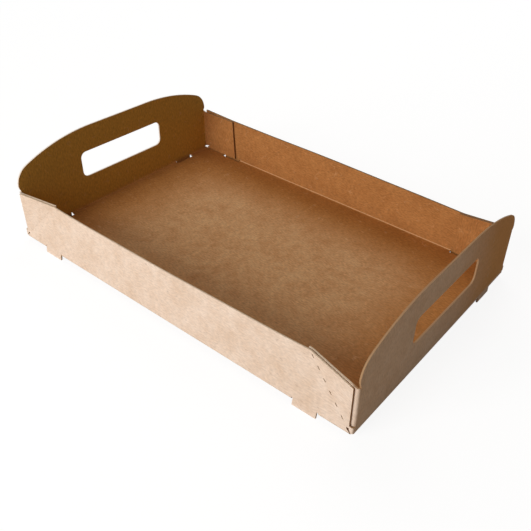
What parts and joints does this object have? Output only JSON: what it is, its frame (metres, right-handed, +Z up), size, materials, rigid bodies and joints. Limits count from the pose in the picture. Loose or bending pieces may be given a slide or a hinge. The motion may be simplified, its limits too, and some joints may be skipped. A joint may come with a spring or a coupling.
{
  "type": "cardboard tray box",
  "caption": "Shallow kraft board carrying tray folded from one blank, with low long walls, arched end walls with hand holes, glued corner flaps and short feet.",
  "frame": {"origin": "under the middle of the tray, on the surface that its feet stand on", "axes": "+X along the tray towards its right end wall, +Y towards its far long wall, +Z up"},
  "size_m": [0.4042, 0.2718, 0.094],
  "materials": {
    "kraft_board": "uncoated brown kraft, matt"
  },
  "bodies": {
    "root": {"folded_tray": "kraft_board"}
  },
  "joints": []
}
